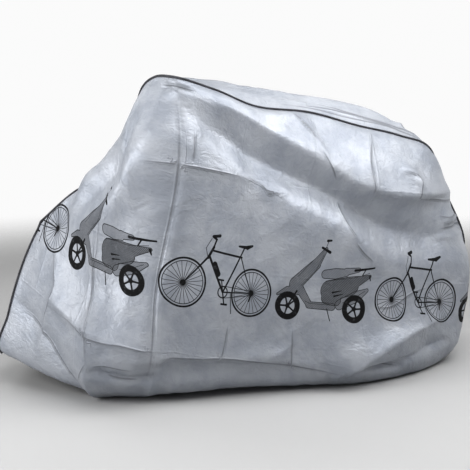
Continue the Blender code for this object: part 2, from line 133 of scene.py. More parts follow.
# A fold follows a path over the panel, through places given as (distance along the panel, height above the
# floor). left and right are its widths on the two sides of that path, as it is walked; its depth goes from
# first to last along it, outward for a ridge and inward, so negative, for a trough. A crest of 2 is round and
# one of 1 is sharp.
Fold = namedtuple("Fold", "left right first last crest path")
SHOULDER = ((0.62, 1.105), (0.76, 1.052), (0.88, 1.010), (1.00, 0.962), (1.14, 0.892), (1.34, 0.790),
            (1.49, 0.735), (1.64, 0.705), (1.86, 0.695), (2.16, 0.640))
LONG_TROUGH = ((0.58, 1.09), (0.74, 0.980), (0.89, 0.902), (1.06, 0.835), (1.18, 0.785), (1.39, 0.700),
               (1.66, 0.572), (2.20, 0.510))
UNDER_TROUGH = ((0.62, 1.03), (0.76, 0.895), (0.89, 0.815), (1.05, 0.745), (1.18, 0.685), (1.39, 0.605),
                (1.64, 0.470), (2.14, 0.425))
NEAR_FOLDS = (
    # The shoulder under the top seam, the hump above its rear half, and the trough and the ridge below it.
    Fold(0.090, 0.028, 0.022, 0.052, 1.4, SHOULDER),
    Fold(0.100, 0.080, 0.006, 0.018, 2.0, ((1.24, 0.92), (1.56, 0.84), (1.90, 0.77))),
    Fold(0.046, 0.060, -0.026, -0.050, 1.7, LONG_TROUGH),
    Fold(0.060, 0.120, 0.010, 0.034, 1.6, UNDER_TROUGH),
    # The front slope, from the peak down to the front end.
    Fold(0.050, 0.060, -0.026, -0.018, 2.0,
         ((0.575, 1.11), (0.540, 1.00), (0.480, 0.915), (0.370, 0.800), (0.270, 0.725), (0.120, 0.650))),
    Fold(0.080, 0.046, 0.018, 0.022, 1.8,
         ((0.62, 1.09), (0.600, 0.96), (0.560, 0.850), (0.460, 0.740), (0.345, 0.665), (0.200, 0.600))),
    Fold(0.045, 0.045, 0.018, 0.018, 1.4, ((0.04, 0.67), (0.16, 0.76), (0.26, 0.84))),
    # The groove that falls from the peak to the hem, and the edge beside it.
    Fold(0.010, 0.012, -0.007, -0.007, 1.4, ((0.648, 1.10), (0.652, 0.70), (0.638, -0.06))),
    Fold(0.030, 0.130, 0.012, 0.020, 1.1, ((0.672, 1.10), (0.676, 0.60), (0.664, -0.06))),
    # The facets of the front end, down to the pocket at its hem.
    Fold(0.060, 0.060, 0.024, 0.030, 1.0, ((0.32, 0.78), (0.39, 0.40), (0.43, 0.30), (0.46, -0.10))),
    Fold(0.050, 0.030, 0.018, 0.020, 1.0, ((0.13, 0.56), (0.205, 0.41), (0.208, 0.35), (0.17, 0.10))),
    Fold(0.050, 0.050, -0.020, -0.022, 1.1, ((-0.04, 0.35), (0.19, 0.234), (0.31, 0.135), (0.44, 0.02))),
    Fold(0.060, 0.020, 0.026, 0.024, 1.1, ((0.18, 0.37), (0.30, 0.320), (0.46, 0.262), (0.66, 0.215))),
    Fold(0.016, 0.012, -0.022, -0.022, 1.4, ((0.46, 0.150), (0.57, 0.118), (0.68, 0.100))),
    # Above the hem: the flatter stretch, the folds that rise to the rear, and a slit by the hem.
    Fold(0.170, 0.060, -0.060, -0.048, 2.0, ((0.60, 0.16), (0.80, 0.14), (1.05, 0.12), (1.46, 0.09))),
    Fold(0.060, 0.030, 0.022, 0.026, 1.4, ((0.50, 0.20), (0.81, 0.168), (1.10, 0.130), (1.42, 0.060))),
    Fold(0.060, 0.040, 0.038, 0.040, 1.2, ((1.36, 0.045), (1.53, 0.135), (1.70, 0.185), (1.98, 0.235))),
    Fold(0.040, 0.026, -0.020, -0.030, 1.6, ((1.40, 0.050), (1.55, 0.085), (1.74, 0.105), (1.98, 0.125))),
    Fold(0.030, 0.016, 0.014, 0.014, 1.4, ((1.42, 0.065), (1.60, 0.098), (1.82, 0.115))),
    Fold(0.014, 0.010, -0.022, -0.022, 1.6, ((1.44, 0.070), (1.54, 0.080), (1.66, 0.055))),
    # Small folds over the middle and under the hump.
    Fold(0.022, 0.012, 0.008, 0.008, 1.2, ((0.56, 0.870), (0.74, 0.832), (0.88, 0.803), (1.02, 0.765))),
    Fold(0.016, 0.016, 0.007, 0.007, 1.2, ((1.00, 0.800), (1.045, 0.752), (1.10, 0.757), (1.15, 0.728))),
    Fold(0.016, 0.030, 0.007, 0.009, 1.2, ((1.14, 1.02), (1.20, 0.964), (1.25, 0.881), (1.34, 0.770))),
    Fold(0.030, 0.016, 0.007, 0.007, 1.2, ((1.34, 0.700), (1.39, 0.642), (1.44, 0.572), (1.53, 0.470))),
    Fold(0.030, 0.020, 0.009, 0.009, 1.1, ((1.50, 0.96), (1.47, 0.821), (1.50, 0.69))),
    Fold(0.020, 0.014, 0.010, 0.010, 1.2, ((1.62, 0.770), (1.70, 0.735), (1.75, 0.700), (1.86, 0.688))),
    Fold(0.014, 0.014, 0.010, 0.010, 1.3, ((1.60, 0.800), (1.67, 0.770), (1.69, 0.700))),
    # Crumples of the rear corner.
    Fold(0.012, 0.012, 0.011, 0.011, 1.4, ((1.90, 0.600), (1.98, 0.584), (2.10, 0.590))),
    Fold(0.012, 0.012, -0.010, -0.010, 1.4, ((1.92, 0.570), (2.00, 0.556), (2.10, 0.540))),
    Fold(0.012, 0.012, 0.010, 0.010, 1.4, ((1.88, 0.535), (1.98, 0.528), (2.12, 0.500))),
    # The roll over the peak, the tuck under it, and the pleats below the tuck.
    Fold(0.012, 0.010, 0.008, 0.008, 1.6, ((0.54, 1.118), (0.62, 1.124), (0.72, 1.104))),
    Fold(0.009, 0.009, -0.009, -0.009, 1.6, ((0.60, 1.104), (0.66, 1.100), (0.72, 1.082))),
    Fold(0.010, 0.010, 0.003, 0.003, 1.6, ((0.61, 1.10), (0.600, 1.03), (0.592, 0.93))),
    Fold(0.010, 0.010, 0.003, 0.003, 1.6, ((0.69, 1.08), (0.700, 1.00), (0.720, 0.92))),
    # Two low folds under the printed row.
    Fold(0.020, 0.020, 0.008, 0.008, 1.3, ((1.10, 0.150), (1.19, 0.200), (1.20, 0.270))),
    Fold(0.040, 0.040, 0.010, 0.010, 1.8, ((0.98, 0.155), (1.10, 0.160), (1.20, 0.150))),
)
FAR_FANS = (
    Fold(0.065, 0.065, -0.030, -0.038, 1.8,
         ((0.58, 1.12), (0.86, 0.93), (1.10, 0.80), (1.50, 0.68), (2.14, 0.56))),
    Fold(0.055, 0.085, 0.022, 0.028, 1.5,
         ((0.58, 1.06), (0.84, 0.86), (1.08, 0.70), (1.48, 0.56), (2.08, 0.44))),
    Fold(0.055, 0.055, 0.024, 0.024, 1.4, ((0.54, 1.06), (0.46, 0.80), (0.12, 0.60))),
    Fold(0.050, 0.040, 0.024, 0.024, 1.1, ((0.64, 1.18), (0.63, 0.60), (0.62, -0.20))),
    Fold(0.060, 0.026, 0.016, 0.016, 1.2, ((0.20, 0.36), (0.50, 0.26), (0.90, 0.20))),
    Fold(0.050, 0.020, 0.016, 0.016, 1.2, ((1.20, 0.14), (1.50, 0.24), (1.90, 0.30))),
)
# Upright folds in the lower half of the far panel: where each stands along it, how high it reaches and its
# depth. Each bends a third of the way up and ends as far below the floor, so that it is full at the hem.
Drop = namedtuple("Drop", "along top depth")
FAR_DROPS = (
    Drop(0.22, 0.62, 0.020),
    Drop(0.40, 0.66, -0.022),
    Drop(0.80, 0.58, -0.026),
    Drop(0.96, 0.50, 0.022),
    Drop(1.16, 0.62, -0.024),
    Drop(1.34, 0.54, 0.026),
    Drop(1.52, 0.60, -0.020),
    Drop(1.70, 0.50, 0.022),
    Drop(1.88, 0.44, -0.018),
)
DROP_LEAN = 0.03
DROP_WIDTH = 0.055
DROP_CREST = 1.4
FAR_FOLDS = FAR_FANS + tuple(
    Fold(DROP_WIDTH, DROP_WIDTH, depth, depth, DROP_CREST,
         ((along, top), (along + DROP_LEAN, top / 3), (along, -top / 3)))
    for along, top, depth in FAR_DROPS
)
FOLD_STEPS = 21  # places along a fold between which its path is straight
END_RISE = 6  # how fast a fold rises from its ends, where 4 would be a parabola over its whole length
SEWN_FADE = 0.026  # how far from a sewn edge the folds reach their full depth

# Small uneven waves and creases all over the film. size is how far apart they are and depth how far they
# stand out; ridged ones are narrow creases, patchy ones come and go over the film.
Crumple = namedtuple("Crumple", "size depth ridged patchy")
CRUMPLES = (
    Crumple(0.240, 0.0045, False, False),
    Crumple(0.110, 0.0014, True, False),
    Crumple(0.046, 0.0006, True, True),
)
PATCH_SIZE = 0.26  # of the areas that are more and less crumpled
RIDGE_SHARPNESS = 4  # how fast a ridged crumple falls away from its crest
# How far apart the noise of one film lies from that of the next, for its patches and for its waves.
PATCH_STEP = 9.7
WAVE_STEP = 3.1
STRIP_NOISE = 2  # the strip's place in that row, where the side panels have 1 and -1

# How far the strip stands out between its seams, at a share of the way from the front hem to the rear one.
Crown = namedtuple("Crown", "share height")
CROWNS = (
    Crown(0.00, 0.01),
    Crown(0.15, 0.00),
    Crown(0.30, 0.00),
    Crown(0.38, -0.01),
    Crown(0.42, 0.010),
    Crown(0.46, 0.045),
    Crown(0.55, 0.066),
    Crown(0.63, 0.074),
    Crown(0.69, 0.022),
    Crown(0.80, 0.040),
    Crown(1.00, 0.020),
)
STRIP_RISE = 8  # how fast the strip's small folds rise from its seams, on the same terms as END_RISE

BELLY_AT = 0.66  # how far down from the printed row to the sill the belly lies
TUCK_FALL = 0.6  # drop of the tucked hem for its width, until it lies on the floor
HEM_HEIGHT = 0.005  # middle of the film where it lies on the floor
KEEL_ENDS = (-0.4, 0.4)  # X of the ends of the cover's middle line, from which its tuck and belly point away
KEEL_Y = 0.03

# The tape stands out of the seam like a low fin, folded round the two raw edges. This is half of its section:
# shares of its depth and of its thickness.
TAPE_SECTION = ((-1.0, 0.75), (-0.6, 1.0), (0.7, 1.0), (1.0, 0.45))
TAPE_LENGTHS = 900  # places along a tape, which goes from sill to sill
EDGE_INSET = 0.0012  # from the seam's middle to the edge of each film inside the tape
TINY = 1e-9  # the least length by which a vector is divided
WELD = 1e-6  # points of a tape closer than this are joined

# Sharp small creases, each through places given as (distance along the panel, height above the floor).
CREASES = (
    ((1.150, 1.010), (1.200, 0.964), (1.235, 0.915)),
    ((1.250, 0.881), (1.290, 0.831), (1.330, 0.779)),
    ((1.172, 0.985), (1.222, 0.935)),
    ((1.360, 0.700), (1.385, 0.645), (1.440, 0.572)),
    ((1.430, 0.562), (1.470, 0.520), (1.520, 0.482)),
    ((1.500, 0.915), (1.476, 0.821), (1.490, 0.720)),
    ((0.580, 0.866), (0.655, 0.851), (0.740, 0.830), (0.880, 0.803)),
    ((0.900, 0.806), (1.000, 0.775), (1.040, 0.752), (1.130, 0.735)),
    ((0.648, 1.070), (0.652, 0.700), (0.646, 0.400), (0.640, 0.110)),
    ((0.690, 0.960), (0.684, 0.860)),
    ((0.140, 0.520), (0.205, 0.410), (0.208, 0.350), (0.180, 0.240)),
    ((0.350, 0.600), (0.405, 0.400), (0.430, 0.320), (0.450, 0.170)),
    ((0.450, 0.170), (0.400, 0.087)),
    ((0.060, 0.296), (0.190, 0.234), (0.310, 0.135), (0.390, 0.066)),
    ((0.280, 0.322), (0.460, 0.260), (0.560, 0.245), (0.650, 0.214)),
    ((0.940, 0.290), (0.935, 0.219), (0.925, 0.165)),
    ((1.200, 0.260), (1.190, 0.164), (1.180, 0.105)),
    ((0.660, 0.190), (0.810, 0.176), (0.970, 0.160), (1.180, 0.116), (1.420, 0.064)),
    ((0.530, 0.128), (0.570, 0.114), (0.620, 0.106)),
    ((1.470, 0.080), (1.540, 0.090), (1.640, 0.062)),
    ((1.620, 0.800), (1.680, 0.772), (1.690, 0.700), (1.760, 0.690)),
    ((1.700, 0.694), (1.800, 0.684), (1.900, 0.668), (1.990, 0.652)),
    ((0.600, 1.106), (0.660, 1.102), (0.720, 1.086)),
    ((1.020, 0.762), (1.046, 0.738), (1.075, 0.742), (1.110, 0.722)),
    ((1.880, 0.615), (1.960, 0.598), (2.060, 0.604)),
    ((1.900, 0.566), (1.990, 0.556), (2.080, 0.544)),
    ((0.470, 0.158), (0.520, 0.164), (0.600, 0.150)),
    ((1.560, 0.310), (1.640, 0.300), (1.760, 0.340), (1.860, 0.352)),
)

FAR_CREASES = (
    ((0.160, 0.500), (0.260, 0.360), (0.250, 0.200)),
    ((0.440, 0.700), (0.480, 0.420), (0.440, 0.120)),
    ((0.640, 0.980), (0.655, 0.700), (0.640, 0.300)),
    ((0.700, 0.860), (0.900, 0.760), (1.080, 0.740)),
    ((1.120, 0.900), (1.240, 0.800), (1.300, 0.640)),
    ((1.420, 0.840), (1.470, 0.640), (1.440, 0.520)),
    ((0.760, 0.300), (1.000, 0.180), (1.220, 0.200)),
    ((1.360, 0.120), (1.560, 0.260), (1.840, 0.300)),
    ((1.700, 0.640), (1.820, 0.520), (1.980, 0.500)),
)
# The same on the strip, through places given as (distance along it, distance across from the near seam).
STRIP_CREASES = (
    ((1.75, 0.030), (1.95, 0.022), (2.20, 0.030), (2.42, 0.020)),
    ((1.80, 0.060), (2.05, 0.040), (2.36, 0.050)),
    ((2.24, 0.060), (2.28, 0.160), (2.34, 0.260)),
    ((2.30, 0.040), (2.40, 0.140), (2.44, 0.280)),
    ((1.20, 0.100), (1.50, 0.160), (1.80, 0.140)),
    ((1.00, 0.040), (1.06, 0.180), (1.04, 0.320)),
    ((2.60, 0.080), (2.80, 0.200), (3.00, 0.180)),
    ((0.30, 0.080), (0.45, 0.220), (0.62, 0.240)),
)

# Folds of the strip, in the same two distances: beside the seam over the rear, round the hump there, and
# across.
STRIP_FOLDS = (
    Fold(0.016, 0.010, 0.010, 0.008, 1.3, ((1.70, 0.050), (1.95, 0.042), (2.22, 0.052), (2.50, 0.030))),
    Fold(0.012, 0.012, -0.007, -0.007, 1.4, ((1.82, 0.076), (2.05, 0.066), (2.30, 0.086))),
    Fold(0.026, 0.018, 0.012, 0.016, 1.3, ((2.22, 0.040), (2.27, 0.130), (2.31, 0.240))),
    Fold(0.018, 0.022, -0.010, -0.010, 1.4, ((2.32, 0.060), (2.36, 0.150), (2.42, 0.260))),
    Fold(0.030, 0.030, 0.010, 0.010, 1.4, ((1.16, 0.110), (1.50, 0.170), (1.84, 0.130))),
    Fold(0.040, 0.030, 0.012, 0.012, 1.4, ((2.56, 0.060), (2.80, 0.200), (3.06, 0.190))),
    Fold(0.040, 0.040, 0.010, 0.010, 1.4, ((0.24, 0.070), (0.45, 0.220), (0.66, 0.250))),
)

# Soft noise in the finishes, about 0.5: waves to the metre, octaves, and how rough and how distorted it is.
Cloud = namedtuple("Cloud", "scale detail roughness distortion", defaults=(3, 0.55, 0.0))
# What a value becomes, smoothly, as it goes from low to high.
Range = namedtuple("Range", "low high at_low at_high")

# The film's finish. Its three films have noise of their own, set apart by these seeds.
NEAR_SEED = 1.0
FAR_SEED = 5.0
STRIP_SEED = 9.0
PATCHES = Cloud(3.2, 2)  # the areas that are duller and more creased
DULLER = 0.16  # how much rougher they are than the smoothest areas
TONES = Cloud(7.0, 6, 0.65)  # the paler and deeper areas
TONE_RANGE = Range(0.34, 0.66, 0, 1)
PALER = (1.10, 1.10, 1.10)  # share of the film's colour where it is palest, by channel
DEEPER = (0.86, 0.88, 0.91)  # and where it is deepest
PAINTED_SHADE_TINT = (0.35, 0.35, 0.35)  # and in the painted shade along a sharp crease
PAINTED_CREASE_SHADE = Range(0.0, 0.0050, 0.62, 0.0)  # how much that painted shade counts, by the distance from the crease
CREASE_WIDTH = 0.0080
CREASE_DEPTH = 0.0028
CREASE_REACH = 0.024  # from a crease, beyond which it is no longer drawn
# Fine crinkles of the film: their noise, depth, and how they are stretched along and up the panel.
Crinkle = namedtuple("Crinkle", "waves depth stretch")
CRINKLES = (
    Crinkle(Cloud(15.0, 4, distortion=0.6), 0.0060, (1.0, 1.0, 1.0)),
    Crinkle(Cloud(38.0, 4, distortion=0.6), 0.0032, (0.8, 1.3, 1.0)),
)

# The film was packed folded, which leaves faint creases in straight lines along and up the panel: the place
# of one such crease, and the gap from each to the next.
PACKED_ALONG = (0.10, 0.28)
PACKED_UP = (-0.16, 0.315)
PACKED = Range(0.0, 0.0060, 0.0008, 0.0)  # height of such a crease, by the distance from it
PACKED_SHOWS = Range(0.40, 0.56, 0.15, 1.0)  # share of that height, by the patches
WOBBLE = Cloud(5.0, 2)
WOBBLE_SWING = 0.012  # from the straightest to the most crooked place of a packing crease

# The printed row's ink.
RUBBING = Cloud(55.0, 2)
RUBBED = Range(0.25, 0.45, 0.90, 1.0)  # share of the ink that is left
INK_DULLER = 0.30  # how much rougher the ink is than the film

# The tape's finish.
RIB_GAP = 0.0016
THREAD_GAP = 0.0012
WEAVE_DEPTH = 0.00012  # of its ribs and threads
WEAR = Cloud(40.0, 4)
WORN_SHADE = Range(0.35, 0.75, 0, 1)
WORN_FINISH = Range(0.3, 0.7, 0.62, 0.82)
WORN_PALER = (2.4, 2.4, 2.4)  # share of its colour where it is most worn, by channel

# The floor's finish.
FLOOR_TONES = Cloud(1.5)
FLOOR_DARKER = (0.97, 0.97, 0.97)  # share of its colour where it is darkest, by channel
FLOOR_PATCHES = Cloud(4.0)
FLOOR_FINISH = Range(0.3, 0.7, 0.75, 0.85)

# The printed row, in metres along it and up from the foot of the wheels: plain outlines of a bicycle and a
# scooter by turns, both facing the front end. A stroke is straight, its half width going from first to last.
ROW_REPEAT = 0.905
ROW_START = 0.2075
SCOOTER_AT = 0.2065
BICYCLE_AT = 0.6695
INK_EDGE = 0.0012  # over which the ink fades at its edge
LINE = 0.0013  # half width of an outline
Stroke = namedtuple("Stroke", "start end first last")
# Two like wheels: hub height, hubs' distance from the middle, (radius, half width) of each ring, spokes.
Wheels = namedtuple("Wheels", "rise reach rings spokes spoke_width spoke_end")
BICYCLE_WHEELS = Wheels(0.086, 0.141, ((0.0830, 0.0032), (0.0735, 0.0014), (0.006, 0.005)), 24, 0.0009, 0.074)
BICYCLE = (
    Stroke((-0.141, 0.086), (-0.066, 0.188), 0.0022, 0.0037),  # fork
    Stroke((-0.068, 0.184), (-0.054, 0.222), 0.0051, 0.0046),  # head tube
    Stroke((-0.058, 0.210), (0.080, 0.204), 0.0034, 0.0034),  # top tube
    Stroke((-0.064, 0.190), (0.018, 0.078), 0.0041, 0.0041),  # down tube
    Stroke((0.018, 0.078), (0.086, 0.236), 0.0032, 0.0029),  # seat tube
    Stroke((0.018, 0.078), (0.141, 0.086), 0.0027, 0.0020),  # chain stay
    Stroke((0.076, 0.206), (0.141, 0.086), 0.0022, 0.0017),  # seat stay
    Stroke((0.060, 0.240), (0.100, 0.240), 0.0032, 0.0063),  # saddle
    Stroke((0.100, 0.240), (0.122, 0.248), 0.0073, 0.0037),
    Stroke((-0.054, 0.222), (-0.050, 0.248), 0.0032, 0.0032),  # stem
    Stroke((-0.050, 0.248), (-0.066, 0.256), 0.0037, 0.0049),  # bar and grip
    Stroke((-0.066, 0.256), (-0.040, 0.262), 0.0049, 0.0054),
    Stroke((-0.070, 0.248), (-0.084, 0.214), 0.0011, 0.0011),  # brake cable
    Stroke((-0.084, 0.214), (-0.070, 0.186), 0.0011, 0.0011),
    Stroke((-0.036, 0.166), (-0.014, 0.136), 0.0098, 0.0098),  # bottle
    Stroke((0.018, 0.078), (0.030, 0.040), 0.0029, 0.0024),  # cranks and pedals
    Stroke((0.020, 0.036), (0.042, 0.036), 0.0034, 0.0034),
    Stroke((0.018, 0.078), (0.006, 0.116), 0.0024, 0.0022),
    Stroke((-0.006, 0.118), (0.014, 0.118), 0.0029, 0.0029),
    Stroke((0.020, 0.099), (0.141, 0.094), 0.0012, 0.0012),  # chain
    Stroke((0.020, 0.057), (0.141, 0.078), 0.0012, 0.0012),
    Stroke((0.052, 0.076), (0.066, 0.006), 0.0015, 0.0015),  # stand
    Stroke((0.141, 0.078), (0.134, 0.056), 0.0037, 0.0029),  # gear
)
CHAINRING = (0.018, 0.078, 0.0195, 0.0022)  # its middle, radius and half width
SCOOTER_WHEELS = Wheels(0.052, 0.142, ((0.0410, 0.0110), (0.006, 0.003)), 5, 0.0032, 0.032)
# The scooter's body is in four groups, each filled with grey and outlined.
SCOOTER_FRONT = (
    Stroke((-0.188, 0.092), (-0.150, 0.112), 0.0040, 0.0090),  # mudguard
    Stroke((-0.150, 0.112), (-0.104, 0.112), 0.0090, 0.0180),
    Stroke((-0.116, 0.132), (-0.040, 0.206), 0.0260, 0.0190),  # shield
    Stroke((-0.040, 0.206), (-0.008, 0.262), 0.0180, 0.0060),
    Stroke((-0.096, 0.116), (-0.054, 0.064), 0.0160, 0.0120),
    Stroke((-0.054, 0.060), (0.046, 0.058), 0.0120, 0.0130),  # footboard
)
SCOOTER_REAR = (
    Stroke((0.030, 0.116), (0.120, 0.136), 0.0370, 0.0340),  # body under the seat
    Stroke((0.110, 0.142), (0.200, 0.172), 0.0280, 0.0060),
    Stroke((0.020, 0.090), (0.060, 0.084), 0.0220, 0.0220),
)
SCOOTER_ENGINE = (
    Stroke((0.076, 0.066), (0.150, 0.098), 0.0180, 0.0210),
    Stroke((0.150, 0.098), (0.194, 0.120), 0.0210, 0.0070),
)
SCOOTER_SEAT = (
    Stroke((0.004, 0.174), (0.048, 0.178), 0.0150, 0.0190),
    Stroke((0.048, 0.178), (0.092, 0.184), 0.0190, 0.0140),
    Stroke((0.092, 0.188), (0.144, 0.196), 0.0130, 0.0080),
)
SCOOTER_LINES = (
    Stroke((0.130, 0.194), (0.214, 0.204), 0.0050, 0.0030),  # rack
    Stroke((0.164, 0.176), (0.176, 0.200), 0.0022, 0.0022),
    Stroke((0.200, 0.172), (0.206, 0.156), 0.0040, 0.0020),  # tail lamp
    Stroke((-0.026, 0.266), (0.010, 0.252), 0.0042, 0.0052),  # bar and grip
    Stroke((-0.010, 0.266), (-0.004, 0.288), 0.0012, 0.0012),  # mirror
    Stroke((-0.008, 0.291), (0.008, 0.293), 0.0046, 0.0034),
    Stroke((-0.142, 0.052), (-0.108, 0.108), 0.0030, 0.0036),  # front fork
    Stroke((-0.110, 0.158), (-0.056, 0.216), 0.0010, 0.0010),  # lines on the shield
    Stroke((-0.092, 0.128), (-0.036, 0.186), 0.0010, 0.0010),
    Stroke((-0.036, 0.186), (-0.014, 0.240), 0.0010, 0.0010),
    Stroke((-0.072, 0.074), (-0.050, 0.066), 0.0010, 0.0010),
    Stroke((-0.050, 0.066), (0.040, 0.064), 0.0010, 0.0010),
    Stroke((0.044, 0.110), (0.084, 0.118), 0.0034, 0.0014),  # vents
    Stroke((0.052, 0.097), (0.090, 0.106), 0.0034, 0.0014),
    Stroke((0.012, 0.150), (0.128, 0.166), 0.0010, 0.0010),  # edge of the body
    Stroke((0.128, 0.166), (0.196, 0.184), 0.0010, 0.0010),
    Stroke((0.090, 0.074), (0.150, 0.098), 0.0010, 0.0010),
    Stroke((0.150, 0.098), (0.186, 0.118), 0.0010, 0.0010),
    Stroke((0.024, 0.050), (0.038, 0.006), 0.0018, 0.0018),  # stand
)
SCOOTER_TONES = (0.56, 0.68, 0.46, 0.34)  # how dark the fill of each group is, as a share of the ink
# The pen lines that shade the fill: from each to the next, and how much darker and paler they make it.
HATCH_GAP = 0.0074
HATCH_DEPTH = 0.25

# Camera at the photo's viewing angle.
VIEW_AZIMUTH = -16
VIEW_ELEVATION = 10
VIEW_DISTANCE = 3.6
VIEW_LENS = 73.6  # mm
VIEW_SENSOR = 36  # mm, square
VIEW_TARGET = (-0.080, -0.050, 0.545)
VIEW_GAMMA = 0.82  # a little more contrast than plain, as in the photo

# Each lamp is a soft box that looks at the cover, placed by its bearing round from the near side, its rise in
# degrees and its distance.
Lamp = namedtuple("Lamp", "name bearing rise distance size power")
LAMPS = (
    Lamp("over_the_back", 180, 72, 3.0, 1.8, 10),
    Lamp("left_behind", -135, 40, 3.4, 1.6, 26),
    Lamp("left", -74, 17, 3.2, 1.6, 72),
    Lamp("front_high", 12, 59, 2.3, 2.4, 58),
    Lamp("right_high", 56, 42, 2.8, 1.6, 42),
    Lamp("right_behind", 135, 45, 3.4, 1.6, 20),
)
LAMP_TARGET = (0, 0, 0.5)
STAGE_RADIUS = 4.4
STAGE_SIDES = 64
FLOOR_FADE = Range(2.2, STAGE_RADIUS, 1.0, 0.0)  # how solid it is, by the distance from its middle
# The studio is pale up to a little above the level of the eye, and darker overhead, where the lamps are.
PALE_TO = 0.07  # as the upward share of a look into the studio
DARK_FROM = 0.16


class CoverSettings(bpy.types.PropertyGroup):
    """Sizes and finishes of the cover."""

    film_thickness: FloatProperty(
        name="Film thickness",
        description="Thickness of the film as drawn",
        default=0.0008,
        unit="LENGTH",
    )
    film_colour: FloatVectorProperty(
        name="Film colour",
        description="Colour of the silver film",
        default=(0.34, 0.355, 0.385),
        subtype="COLOR",
    )
    film_roughness: FloatProperty(
        name="Film roughness",
        description="Softness of the film's sheen",
        default=0.51,
    )
    film_metal: FloatProperty(
        name="Film metal",
        description="Share of metallic sheen in the silver film",
        default=0.34,
    )
    film_specular: FloatProperty(
        name="Film shine",
        description="Strength of the clear shine on film and ink",
        default=0.30,
    )
    tape_depth: FloatProperty(
        name="Tape depth",
        description="How far the folded tape stands across the seam",
        default=0.0118,
        unit="LENGTH",
    )
    tape_thickness: FloatProperty(
        name="Tape thickness",
        description="Thickness over both folds of the tape",
        default=0.0056,
        unit="LENGTH",
    )
    tape_colour: FloatVectorProperty(
        name="Tape colour",
        description="Colour of the binding tape",
        default=(0.035, 0.035, 0.040),
        subtype="COLOR",
    )
    ink_colour: FloatVectorProperty(
        name="Ink colour",
        description="Colour of the printed row",
        default=(0.004, 0.004, 0.005),
        subtype="COLOR",
    )


class StageSettings(bpy.types.PropertyGroup):
    """Floor and light round the cover."""

    floor_colour: FloatVectorProperty(
        name="Floor colour",
        description="Colour of the plain floor",
        default=(0.47, 0.47, 0.47),
        subtype="COLOR",
    )
    backdrop_strength: FloatProperty(
        name="Backdrop",
        description="Brightness of the pale backdrop all round",
        default=0.97,
    )
    overhead_strength: FloatProperty(
        name="Fill light",
        description="Brightness of the studio overhead",
        default=0.22,
    )


def curve_through(knots, values, at):
    """A smooth curve through values, one for each of the rising knots, read at each place of at."""
    knots, values, at = (np.asarray(given, float) for given in (knots, values, at))
    slopes = np.diff(values, axis=0) / np.diff(knots)[:, None]
    gaps = np.diff(knots)[:, None]
    inner = (slopes[:-1] * gaps[1:] + slopes[1:] * gaps[:-1]) / (gaps[1:] + gaps[:-1])
    tangents = np.concatenate([slopes[:1], inner, slopes[-1:]])
    index = np.clip(np.searchsorted(knots, at, side="right") - 1, 0, len(knots) - 2)
    gap = (knots[index + 1] - knots[index])[:, None]
    t = (at[:, None] - knots[index][:, None]) / gap
    return (
        values[index] * (2 * t**3 - 3 * t**2 + 1)
        + tangents[index] * gap * (t**3 - 2 * t**2 + t)
        + values[index + 1] * (3 * t**2 - 2 * t**3)
        + tangents[index + 1] * gap * (t**3 - t**2)
    )


def unit(vectors):
    return vectors / np.maximum(np.linalg.norm(vectors, axis=-1, keepdims=True), TINY)


def outward_from_keel(points):
    """Level unit vectors from the nearest place on the cover's middle line to each point."""
    nearest = np.clip(points[:, 0], *KEEL_ENDS)
    away = np.stack([points[:, 0] - nearest, points[:, 1] - KEEL_Y, np.zeros(len(points))], axis=1)
    return unit(away)


def beside(path, along, height):
    """How each place of a panel lies to a path through it: its distance, the same with a sign that is
    positive to the path's left, and the share of the path at which it is nearest."""
    path = curve_through(np.linspace(0, 1, len(path)), path, np.linspace(0, 1, FOLD_STEPS))
    nearest = np.full(along.shape, np.inf)
    place = np.zeros(along.shape)
    leftward = np.zeros(along.shape)
    for step, (start, run) in enumerate(zip(path, np.diff(path, axis=0))):
        share = ((along - start[0]) * run[0] + (height - start[1]) * run[1]) / (run @ run)
        share = np.clip(share, 0, 1)
        on, up = along - start[0] - share * run[0], height - start[1] - share * run[1]
        away = np.hypot(on, up)
        closer = away < nearest
        place = np.where(closer, (step + share) / (FOLD_STEPS - 1), place)
        leftward = np.where(closer, np.copysign(away, run[0] * up - run[1] * on), leftward)
        nearest = np.where(closer, away, nearest)
    return nearest, leftward, place


def fold_shift(folds, along, height):
    """How far the folds move each point of a panel along its outward normal."""
    shift = np.zeros(along.shape)
    for fold in folds:
        nearest, leftward, place = beside(fold.path, along, height)
        width = np.where(leftward > 0, fold.left, fold.right)
        depth = fold.first + (fold.last - fold.first) * place
        fade = np.clip(END_RISE * place * (1 - place), 0, 1)
        shift += depth * fade * np.exp(-((nearest / width) ** fold.crest))
    return shift


def crease_lines(creases, along, height):
    """For each place of a panel, how far it is to the side of the nearest sharp crease, and from 0 to 1 how
    much that crease counts there. The material raises it and paints shade on it where the first passes
    through 0."""
    nearest = np.full(along.shape, np.inf)
    lines = np.zeros((*along.shape, 2))
    for path in creases:
        away, leftward, place = beside(path, along, height)
        strength = np.clip(END_RISE * place * (1 - place), 0, 1)
        strength *= np.clip((CREASE_REACH - away) / (CREASE_REACH / 2), 0, 1)
        closer = away < nearest
        lines[closer] = np.stack([leftward, strength], axis=-1)[closer]
        nearest = np.minimum(away, nearest)
    return lines


def noise_field(flat, size, seed):
    """Soft noise from -1 to 1 at each place of a flat cut, with waves about size long."""
    rows, columns = flat.shape[:2]
    places = (flat / size).reshape(-1, 2)
    values = [noise.noise(Vector((x, y, seed))) for x, y in places]
    return np.array(values).reshape(rows, columns)


def crumple_shift(flat, turn):
    """How far the film's small crumples stand out at each place of its flat cut. Each film has its own turn
    in the noise."""
    patches = np.clip(0.5 + noise_field(flat, PATCH_SIZE, turn * PATCH_STEP), 0, 1)
    shift = np.zeros(flat.shape[:2])
    for order, (size, depth, ridged, patchy) in enumerate(CRUMPLES):
        waves = noise_field(flat, size, turn * WAVE_STEP + order)
        if ridged:
            waves = 1 - RIDGE_SHARPNESS * np.abs(waves)
        shift += depth * waves * (patches if patchy else 1)
    return shift


